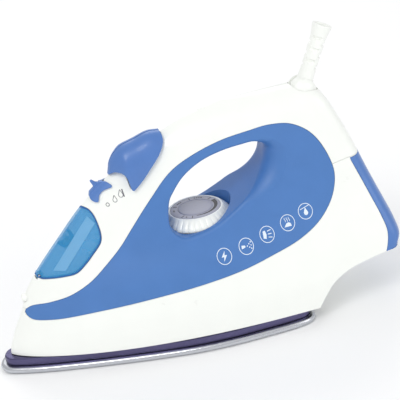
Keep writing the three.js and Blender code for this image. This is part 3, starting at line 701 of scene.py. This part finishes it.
door_shell = skin(0.2, -1.6)
LIP = 0.9
PIN_HOLE_RADIUS = 1.15
pane = common(door_shell.copy(), prism(grow(door_edge, -LIP)))
hinged = join(pane, crosswise(KNUCKLE_HALF, KNUCKLE_RADIUS))
show("filler_door_pane", cut(hinged, crosswise(5, PIN_HOLE_RADIUS)), CLEAR, "door",
     ["filler_door"])
lip_ring = cut(prism(door_edge), prism(grow(door_edge, 0.02 - LIP)))
show("filler_door_lip", common(door_shell, lip_ring), CLEAR_RIM,
     "door", ["filler_door"])
# A pale band under the door, along its ridge: a painted highlight streak.
DOOR_HIGHLIGHT_BAND = [(50, 68.4), (58, 68), (84.6, 96), (80.6, 101)]
highlight_band = common(skin(-1.4, -1.9), prism(DOOR_HIGHLIGHT_BAND))
show("filler_door_painted_highlight", common(highlight_band, prism(grow(door_edge, -1.4))), DOOR_HIGHLIGHT, "door")
FILLER_LEAN = math.atan2(*np.subtract(FILLER_AXIS[1], FILLER_AXIS[0]))
STOPPER_TOP = (60.5, 90.2)


def on_filler_axis(mesh):
    """A mesh drawn about +Z, pointed down the filler hole."""
    turn = Matrix.Rotation(FILLER_LEAN, 4, "Y")
    return placed(mesh, Matrix.Translation((STOPPER_TOP[0], 0, STOPPER_TOP[1])) @ turn)


STOPPER_RADIUS = 6.3
STOPPER_BORE = 5.2
STOPPER_DEPTH = 6.5
stopper = on_filler_axis(cut(post(0, 0, 0, STOPPER_DEPTH, STOPPER_RADIUS),
                             post(0, 0, -2, STOPPER_DEPTH + 1.5, STOPPER_BORE)))
show("door_stopper", common(stopper, body_form(-1.7, 30)), CLEAR_RIM, "door")

# ---- selector and thumb buttons ------------------------------------------------------------

SELECTOR_PLATE = [
    (86.6, 117.5), (85.3, 112.2), (87.4, 110.4), (90, 110.2), (91.6, 113.9), (94.2, 116.2),
    (97.2, 117.4), (101.4, 118.8), (98.2, 121.6), (95, 121.9), (90.5, 122),
]
FIN = [(-3, 0.4), (-0.9, 3.1), (0.5, 7), (1.6, 6.8), (2.3, 3.6), (4.2, 0.6)]
plate = common(skin(1.9, 0.5), prism(smooth(SELECTOR_PLATE, 0.7, closed=True)))
FIN_HALF = 0.9
STEM_SIDE = 1.6
fin = on_ridge(prism(smooth(FIN, 0.6, closed=True), -FIN_HALF, FIN_HALF))
stem = on_ridge(box(-STEM_SIDE, STEM_SIDE, -STEM_SIDE, STEM_SIDE, -6, 1.4))
show("steam_selector_key", softened(join(plate, fin, stem), 0.28, 3), DEEP_BLUE,
     "selector", ["steam_selector"])

BUTTON_HALF = 15
BUTTON_NOSE_HALF = 4       # the block narrows to this at its front
BUTTON_BASE = 112
crown_at = monotone([(96, 120), (100.6, 126)] + BUTTON_OUTLINE[CROWN_START:][::-1] + [(150, 148)])


def button_dome():
    """The crowned block from which both buttons are cut."""
    angles = np.linspace(0, math.pi, 41)
    rows = []
    for x in np.linspace(98, 143, 50):
        rise = (float(crown_at(x)) - 0.1 - BUTTON_BASE) * np.sin(angles).clip(0) ** 0.55
        widening = float(smoothstep((x - 99) / 15))
        half = BUTTON_NOSE_HALF + (BUTTON_HALF - BUTTON_NOSE_HALF) * widening
        across = -half * np.cos(angles)
        rows.append(np.stack((np.full(len(angles), x), across, BUTTON_BASE + rise), axis=1))
    return loft(rows)


STEM_HALF = 7
STEM = [(100.9, 121.5), (101.2, 127), (106, 136), (137, 143), (137, 133), (128, 124), (112, 120.5)]
key_block = common(button_dome(), prism(button_edge))
key_skin = cut(key_block.copy(), body_form(0.1, 36))
key_pair = join(key_skin, common(prism(STEM, -STEM_HALF, STEM_HALF), key_block))
KEYS = [
    ("spray_key", "spray_plunger", "spray_button", -20, -0.4),
    ("steam_burst_key", "steam_plunger", "steam_burst_button", 0.4, 20),
]
for name, body, node, y0, y1 in KEYS:
    key = largest(common(key_pair.copy(), box(90, 150, y0, y1, 100, 160)))
    show(name, softened(key, 0.3, 2), DEEP_BLUE, body, [node])

# ---- thermostat dial -------------------------------------------------------------------------

RIBS = 32
DIAL_DRAWN_RADIUS = 24     # the profiles below are drawn for this radius
DIAL_BASE = dial_low[2]
DIAL_SKIRT = [
    (22.4, 0), (23.3, 0.3), (23.9, 1), (DIAL_DRAWN_RADIUS, 1.9), (23.8, 2.8), (23.1, 4),
    (22, 5.3), (20.8, 6.5), (19.6, 7.6), (18.8, 8.2), (18.2, 8.5), (17.7, 8.5), (17.4, 8.2),
    (17.3, 7.8), (1, 7.8),
]


def ribbed(angle, radius, height):
    """Flutes between the ribs of the dial's sloping rim."""
    rim = smoothstep((radius - 18.6) / 1.6) * smoothstep((height - 0.2) / 0.8)
    flute = 1 - abs(math.cos(RIBS * angle / 2)) ** 0.7
    return radius - 0.42 * rim * flute, height - 0.14 * rim * flute


dial_scale = DIAL_RADIUS / DIAL_DRAWN_RADIUS
at_dial = (Matrix.Translation((DIAL_X, 0, DIAL_BASE))
           @ Matrix.Diagonal((dial_scale, dial_scale, 1, 1)))
show("dial_knob", placed(lathe(DIAL_SKIRT, 320, ribbed), at_dial), WHITE, "dial",
     ["thermostat_dial"])
DIAL_FACE = [
    (17.2, 7.6), (17.2, 8.25), (16.9, 8.4), (12.5, 8.45), (12.2, 8.2), (11.8, 8.2), (11.5, 8.5),
    (11, 8.7), (6, 8.8), (1, 8.82),
]
show("dial_scale_face", placed(lathe(DIAL_FACE, 96), at_dial), DIAL_GREY, "dial",
     ["dial_face"])


def flat_marks(outlines, z0, z1):
    """Plan outlines raised into thin prints."""
    made = slab(outlines[0], z0, z1)
    for outline in outlines[1:]:
        made = join(made, slab(outline, z0, z1))
    return made


def arc_band(start, end, inner, outer_start, outer_end, steps=28):
    """A band along an arc about the dial's axis. Its outer edge moves from one radius to
    another."""
    angles = np.radians(np.linspace(start, end, steps))
    outer = np.linspace(outer_start, outer_end, steps)
    near = np.stack((inner * np.cos(angles), inner * np.sin(angles)), axis=1)
    far = np.stack((outer * np.cos(angles), outer * np.sin(angles)), axis=1)
    return np.concatenate((near, far[::-1]))


def dot(angle, radius, size):
    """A round spot at an angle and radius on the dial."""
    turn = np.linspace(0, 2 * math.pi, 14, endpoint=False)
    x, y = radius * math.cos(math.radians(angle)), radius * math.sin(math.radians(angle))
    return np.stack((x + size * np.cos(turn), y + size * np.sin(turn)), axis=1)


MARKS_INNER = 12.9
MARKS_OUTER = 16
wedge = [arc_band(-100, 20, MARKS_INNER, 13.3, 15.9)]
dots = [dot(a, 14.6, 0.55) for a in (-128, 170, 176, 120, 126, 132, 60, 66, 72, 78)]
bars = [arc_band(a, a + 1.6, MARKS_INNER, MARKS_OUTER, MARKS_OUTER, 3)
        for a in (-140, -112, 34, 92, 148)]
show("dial_marks", placed(flat_marks(wedge + dots + bars, 8.3, 8.53), at_dial), INK, "dial")

# ---- soleplate and its casting ---------------------------------------------------------------

# Half outline of the soleplate, as (x, half-width) pairs.
SOLE_HALF = [
    (0, 0), (1.2, 5), (4.2, 9.8), (15, 15.6), (32, 22.4), (58, 30.8), (84, 38.4), (110, 45.1),
    (134, 50.2), (158, 52.6), (185, 52.8), (203, 52.2), (213.5, 50), (218.6, 45.5),
    (SOLE_LENGTH, 38),
]
half_line = smooth(SOLE_HALF, 2.2)
sole_line = np.concatenate((half_line, (half_line * (1, -1))[:0:-1]))


def layered(profile):
    """A plate on the soleplate's outline from (growth, height) pairs."""
    return loft([np.insert(grow(sole_line, growth), 2, z, axis=1) for growth, z in profile])


SOLE_PROFILE = [
    (-2.6, 0), (-1.5, 0.05), (-0.8, 0.35), (-0.25, 1), (-0.02, 1.8), (-0.02, 2.6), (-0.25, 3.4),
    (-0.8, 4.05), (-1.5, 4.35), (-2.6, SOLE_THICKNESS),
]
STEAM_HOLES = [(24, 0), (38, 10), (58, 18), (80, 25), (102, 31), (124, 35.5), (146, 38), (168, 39)]
sole = layered(SOLE_PROFILE)
for x, y in STEAM_HOLES:
    for side_y in sorted({y, -y}):
        countersink = lathe([(3, -0.5), (2.6, 0), (1.6, 1), (1.6, 6)], 20)
        sole = cut(sole, placed(countersink, Matrix.Translation((x, side_y, 0))))
show("steel_soleplate", sole, SOLE, "iron", ["soleplate"])

# The casting is a band around its edge and a block over the heater. Its dark purple is a painted
# reflection with painted shade in the groove.
CASTING_PROFILE = [
    (-4.8, SOLE_THICKNESS + 0.1), (-4, SOLE_THICKNESS + 0.6), (-3.9, 8.4), (-4.1, 9.4), (-4.9, 10),
]
BLOCK_FRONT = 20
block_line = grow(sole_line, -9)
casting_block = slab(block_line[block_line[:, 0] > BLOCK_FRONT], 9, 17)
show("heated_casting", join(layered(CASTING_PROFILE), casting_block), CASTING_REFLECTION, "iron",
     ["sole_casting"])

# ---- cord turret and guard ---------------------------------------------------------------------

FOOT_RADIUS = 8.7
SLEEVE_RADIUS = 5.4
CORD_BORE = 4.1
GUARD_LENGTH = 46.5
TURRET = [
    (TURRET_RADIUS - 0.4, -7), (TURRET_RADIUS, -6.5), (TURRET_RADIUS, 0.4), (10.25, 1.6),
    (9.9, 3.1), (9.2, 4.8), (8.2, 6.3), (6.8, 7.8), (5, 9.1), (2, 10.2),
]
turret = cut(lathe(TURRET, 96), ball(FOOT_RADIUS + 0.35),
             box(-22, 22, -SLEEVE_RADIUS - 0.5, SLEEVE_RADIUS + 0.5, 1, 20),
             post(0, 0, -9, 1, 6, 48))
show("cord_turret_dome", on_guard_axis(largest(turret)), WHITE, "turret",
     ["cord_turret"])

SLOT_PITCH = 4.1
SLOT_FIRST = 17
SLOT_COUNT = 6


def slotted(angle, radius, height):
    """Staggered slots round the upper half of the guard, of the kind that lets a real guard bend.
    """
    if radius < SLEEVE_RADIUS - 0.2 or height < 8:
        return radius, height
    depth = 0
    for k in range(SLOT_COUNT):
        near = smoothstep((1.05 - abs(height - SLOT_FIRST - SLOT_PITCH * k)) / 0.35)
        turned = math.cos(2 * angle + math.pi * (k % 2) + math.radians(50))
        depth = max(depth, near * smoothstep((turned - 0.15) / 0.25))
    return radius - 1.1 * depth, height


foot = [(FOOT_RADIUS * math.cos(math.radians(a)), FOOT_RADIUS * math.sin(math.radians(a)))
        for a in range(-60, 44, 6)]
flare = monotone([(0, SLEEVE_RADIUS + 0.9), (9, SLEEVE_RADIUS + 0.3), (14, SLEEVE_RADIUS),
                  (36, SLEEVE_RADIUS + 0.1), (GUARD_LENGTH - 0.6, SLEEVE_RADIUS + 1.6)])
sleeve = [(float(flare(z)), z) for z in np.arange(7, GUARD_LENGTH - 0.5, 0.5)]
guard_rows = foot + sleeve + [(SLEEVE_RADIUS + 1.3, GUARD_LENGTH), (CORD_BORE + 0.6, GUARD_LENGTH),
                              (CORD_BORE, GUARD_LENGTH - 1)]
guard = cut(lathe(guard_rows, 96, slotted), post(0, 0, -12, GUARD_LENGTH + 4, CORD_BORE, 48))
show("cord_guard_sleeve", on_guard_axis(largest(guard)), WHITE, "guard",
     ["cord_guard"])

# ---- nozzle, lamp and screw -----------------------------------------------------------------


def along_nozzle(mesh):
    """A lathe piece moved onto the nozzle's axis, facing forward."""
    turn = Matrix.Rotation(-math.pi / 2 + math.atan(NOZZLE_LEAN), 4, "Y")
    return placed(mesh, Matrix.Translation((NOZZLE[0], 0, NOZZLE[1])) @ turn)


NOZZLE_PROFILE = [
    (3, -6.8), (3, 1.4), (2.8, 2), (2.3, 2.35), (1.7, 2.35), (1.4, 1.9), (0.9, 1.1), (0.3, 1),
]
show("spray_nozzle_tip", along_nozzle(lathe(NOZZLE_PROFILE, 40)), WHITE, "iron",
     ["spray_nozzle"])
show("spray_orifice", along_nozzle(lathe([(1.35, 1.2), (1.3, 1.75), (0.5, 1.8)], 24)), ORIFICE,
     "iron")


def along(axis_point, direction, mesh):
    """A lathe piece turned from +Z to a direction in the side view."""
    turn = Matrix.Rotation(math.atan2(direction[0], direction[1]), 4, "Y")
    return placed(mesh, Matrix.Translation((axis_point[0], 0, axis_point[1])) @ turn)


LAMP_PROFILE = [(2.9, -5), (2.9, -1), (2.6, -0.8), (1.8, -0.6), (0.6, -0.5)]
show("pilot_lamp", along(lamp_at, lamp_axis, lathe(LAMP_PROFILE, 32)), AMBER, "iron",
     ["pilot_lamp_lens"])

SCREW_PROFILE = [(1.6, -20), (1.6, -2.4), (3, -2.4), (3, -0.9), (2.5, -0.2), (1.2, 0)]
head = lathe(SCREW_PROFILE, 32)
for quarter in (0, math.pi / 2):
    blade = placed(box(-1.9, 1.9, -0.35, 0.35, -1.4, 1), Matrix.Rotation(quarter, 4, "Z"))
    head = cut(head, blade)
show("heel_screw_head", along((screw_high[0], SCREW_Z), (1, 0), head), STEEL, "iron",
     ["heel_screw"])

# ---- springs ---------------------------------------------------------------------------------


WIRE_RADIUS = 0.4


def coil_spring(x, y, z0, z1, radius, wire, turns):
    """An upright coil of round wire that fills the height from z0 to z1."""
    rows = []
    steps = int(turns * 20)
    for k in range(steps + 1):
        angle = 2 * math.pi * turns * k / steps
        middle = np.array((radius * math.cos(angle), radius * math.sin(angle),
                           z0 + wire + (z1 - z0 - 2 * wire) * k / steps))
        out = np.array((math.cos(angle), math.sin(angle), 0))
        ring = [middle + wire * (math.cos(a) * out + math.sin(a) * np.array((0, 0, 1)))
                for a in np.linspace(0, 2 * math.pi, 8, endpoint=False)]
        rows.append(np.array(ring) + (x, y, 0))
    return loft(rows)


for node, turns in (("spray_spring", 8), ("steam_burst_spring", 8), ("valve_spring", 5)):
    low, high = mm_box(node)
    mid = (low + high) / 2
    coil_radius = (high[0] - low[0]) / 2 - WIRE_RADIUS
    coil = coil_spring(mid[0], mid[1], low[2], high[2], coil_radius, WIRE_RADIUS, turns)
    show(node + "_coil", coil, STEEL, "iron", [node])

# ---- printed marks ----------------------------------------------------------------------------

PRINT_LIFT = 0.07          # a print stands this proud of the flank
PRINT_ROOT = -0.2          # and starts this deep in it


def on_flank(mesh, side):
    """Bends a flat print, drawn as x, z with its depth in y, onto a flank of the body."""
    for corner in mesh.vertices:
        x, depth, z = corner.co
        corner.co.y = side * (float(half_width(x, z)) + depth)
    if side < 0:
        mesh.flip_normals()
    return mesh


def stroke(points, width, closed=False, step=0.5):
    """A printed line."""
    line = spaced(points, step, closed)
    ends = np.roll(line, -1, axis=0) - np.roll(line, 1, axis=0)
    if not closed:
        ends[0] = line[1] - line[0]
        ends[-1] = line[-1] - line[-2]
    normal = np.stack((-ends[:, 1], ends[:, 0]), axis=1) / np.linalg.norm(ends, axis=1)[:, None]
    rows = []
    for point, n in zip(line, normal):
        a, b = point + n * width / 2, point - n * width / 2
        rows.append(np.array([(a[0], PRINT_ROOT, a[1]), (a[0], PRINT_LIFT, a[1]),
                              (b[0], PRINT_LIFT, b[1]), (b[0], PRINT_ROOT, b[1])]))
    return loft(rows, looped=closed)


def patch(outline):
    """A filled print."""
    return prism(outline, PRINT_ROOT, PRINT_LIFT)


def round_line(cx, cz, radius, steps=40):
    """A circle's points."""
    turn = np.linspace(0, 2 * math.pi, steps, endpoint=False)
    return np.stack((cx + radius * np.cos(turn), cz + radius * np.sin(turn)), axis=1)


def drop_line(cx, cz, size):
    """The outline of a water drop with its tip up."""
    turn = np.radians(np.linspace(-215, 35, 16))
    body = np.stack((cx + size * np.cos(turn), cz - 0.3 * size + size * np.sin(turn)), axis=1)
    return np.concatenate((body, [(cx, cz + 2 * size)]))


def prints(name, parts, ink):
    """One printed piece on each flank."""
    for label, side in (("left", -1), ("right", 1)):
        shape = bmesh.new()
        for part in parts:
            copy = on_flank(part.copy(), side)
            shape.from_mesh(copy)
        bmesh.ops.recalc_face_normals(shape, faces=shape.faces)
        mesh = bpy.data.meshes.new("work")
        shape.to_mesh(mesh)
        shape.free()
        show(f"{name}_{label}", mesh, ink, "iron")


def offset_all(points, cx, cz):
    """A small outline moved to its place on the flank."""
    return [(cx + x, cz + z) for x, z in points]


# The five marks: power, spray, burst of steam, steam while ironing, and anti-drip.
BOLT = [(0.9, 3.2), (-2, -0.4), (-0.3, -0.4), (-0.9, -3.2), (2, 0.6), (0.3, 0.6)]
IRON_SHAPE = [(-2.8, -1.6), (2.4, -1.6), (2, 0.2), (0.8, 0.9), (-0.6, 0.7), (-1.8, -0.4)]
SPRAY_HEAD = [(-3.4, -1.2), (-0.6, -0.4), (-0.6, 0.6), (-3.2, 1)]
SPRAY_DOTS = [(0.8, 0), (2.2, 1.1), (2.2, -1), (3.4, 2), (3.5, 0.1), (3.4, -1.9)]
UPRIGHT_IRON = [(-3, -2), (-1, -2.6), (-0.4, 0), (-1, 2.6), (-2.6, 2.2)]
ICON_RADIUS = 5
ICONS = [(163.4, 61.7), (179.7, 64.4), (195.8, 68.2), (211.7, 71.9), (225.8, 76.1)]


def wave(cx, cz, height, sway):
    """A wisp of steam that rises from a point."""
    s = np.linspace(0, 1, 10)
    return [(cx + sway * math.sin(2 * math.pi * t), cz + height * t) for t in s]


icon_parts = [stroke(round_line(x, z, ICON_RADIUS), 0.42, closed=True) for x, z in ICONS]
(x1, z1), (x2, z2), (x3, z3), (x4, z4), (x5, z5) = ICONS
icon_parts.append(patch(offset_all(BOLT, x1, z1)))
icon_parts.append(patch(offset_all(SPRAY_HEAD, x2, z2)))
for dx, dz in SPRAY_DOTS:
    icon_parts.append(patch(round_line(x2 + dx, z2 + dz, 0.42, 10)))
icon_parts.append(patch(offset_all(UPRIGHT_IRON, x3, z3)))
for dz in (-1.8, 0, 1.8):
    icon_parts.append(stroke([(x3 + 0.6, z3 + dz), (x3 + 3.2, z3 + 1.3 * dz)], 0.5))
icon_parts.append(patch(offset_all(IRON_SHAPE, x4, z4 - 0.8)))
for dx in (-1.5, 0, 1.5):
    icon_parts.append(stroke(wave(x4 + dx, z4 + 0.7, 2.6, 0.35), 0.36, step=0.3))
icon_parts.append(patch(drop_line(x5 + 0.2, z5 - 0.6, 1.5)))
icon_parts.append(stroke([(x5 - 3.4, z5 + 1.6), (x5 + 3.2, z5 + 3.4)], 0.42))
prints("function_marks", icon_parts, WHITE_INK)

# Dry, less steam and more steam, beside the selector.
MARKS = [(95.6, 107.5), (101, 110.2), (106.1, 113)]
(x1, z1), (x2, z2), (x3, z3) = MARKS
steam_parts = [stroke(round_line(x1, z1, 1.1, 24), 0.42, closed=True, step=0.4),
               stroke(drop_line(x2, z2, 1.35), 0.34, closed=True, step=0.4),
               stroke(drop_line(x3 - 0.6, z3, 1.5), 0.34, closed=True, step=0.4),
               stroke([(x3 + 1.4, z3 - 1.8), (x3 + 0.9, z3 + 3.2)], 0.75)]
prints("steam_marks", steam_parts, GREY_INK)

# ---- finishes of the CAD nodes that still show --------------------------------------------------

FINISHES = {
    "steam_chamber_cover": STEEL, "sole_screw_front": STEEL, "sole_screw_left": STEEL,
    "sole_screw_right": STEEL, "heating_element": CAST, "thermostat": BRASS, "thermal_fuse": RUBBER,
    "dial_shaft": BRASS, "spray_pump_body": SMOKED, "spray_piston": WHITE,
    "steam_burst_pump_body": SMOKED, "steam_burst_piston": WHITE, "steam_valve_rod": BRASS,
    "drip_valve_seat": RUBBER, "door_hinge_pin": STEEL, "door_seal": RUBBER, "water_tank": SMOKED,
    "spray_tube": RUBBER, "steam_burst_tube": RUBBER, "terminal_block": DARK, "cord_clamp": DARK,
    "lead_left": RUBBER, "lead_right": RUBBER,
}
for node, finish in FINISHES.items():
    mesh = frame["nodes"][node].data
    mesh.materials.clear()
    mesh.materials.append(finish)
    mesh.set_sharp_from_angle(angle=SHARP)

# ---- camera, floor and light -----------------------------------------------------------

CAMERA = (2.8, -892.5, 512.1)
TARGET = (160.2, 0, 89.5)
ROLL = math.radians(10)
SENSOR = 36
LENS = 129.6
LIGHTS = [                 # name, place, aim, width in metres, power in watts
    ("key", (-0.7, -1.0, 1.5), (0, 0, 0.06), 0.9, 10.5),
    ("fill", (1.2, -1.1, 0.8), (0, 0, 0.08), 1.0, 4.5),
    ("back", (0.2, 1.3, 1.2), (0, 0, 0.08), 1.0, 5.5),
]
FLOOR_HALF = 4             # metres
FLOOR_DROP = 0.0004        # the floor lies this far below the soleplate, in metres
SKY_COLOUR = (0.985, 0.99, 1, 1)
SKY_STRENGTH = 0.72


def in_frame(point):
    """A point in this script's millimetres, in the frame's metres."""
    return Vector((point[0] * MM + NOSE_X, point[1] * MM, point[2] * MM))


def add_camera():
    """The camera, turned about its line of sight so that the iron climbs to the right."""
    camera = bpy.data.objects.new("camera", bpy.data.cameras.new("camera"))
    bpy.context.scene.collection.objects.link(camera)
    back = (in_frame(CAMERA) - in_frame(TARGET)).normalized()
    level = Vector((0, 0, 1)).cross(back).normalized()
    upright = back.cross(level)
    right = math.cos(ROLL) * level - math.sin(ROLL) * upright
    up = math.sin(ROLL) * level + math.cos(ROLL) * upright
    turn = Matrix((right, up, back)).transposed().to_4x4()
    camera.matrix_world = Matrix.Translation(in_frame(CAMERA)) @ turn
    camera.data.lens = LENS
    camera.data.sensor_width = SENSOR
    bpy.context.scene.camera = camera


def add_light(name, where, at, size, power):
    light = bpy.data.lights.new(name, "AREA")
    light.shape = "DISK"
    light.size = size
    light.energy = power
    one = bpy.data.objects.new(name, light)
    bpy.context.scene.collection.objects.link(one)
    one.location = where
    one.rotation_euler = (Vector(at) - Vector(where)).to_track_quat("-Z", "Y").to_euler()


def add_stage():
    floor = bpy.data.objects.new("floor", bpy.data.meshes.new("floor"))
    corners = [(x * FLOOR_HALF, y * FLOOR_HALF, 0) for x, y in ((-1, -1), (1, -1), (1, 1), (-1, 1))]
    floor.data.from_pydata(corners, [], [(0, 1, 2, 3)])
    floor.data.materials.append(material("pale_floor", linear(250, 250, 250), 0.7, mottle=0.004,
                                         mottle_scale=3, grain=0))
    floor.location.z = -FLOOR_DROP
    bpy.context.scene.collection.objects.link(floor)
    world = bpy.data.worlds.new("studio")
    world.use_nodes = True
    background = world.node_tree.nodes["Background"]
    background.inputs["Color"].default_value = SKY_COLOUR
    background.inputs["Strength"].default_value = SKY_STRENGTH
    bpy.context.scene.world = world


add_camera()
add_stage()
for light in LIGHTS:
    add_light(*light)
bpy.context.scene.view_settings.view_transform = "Standard"
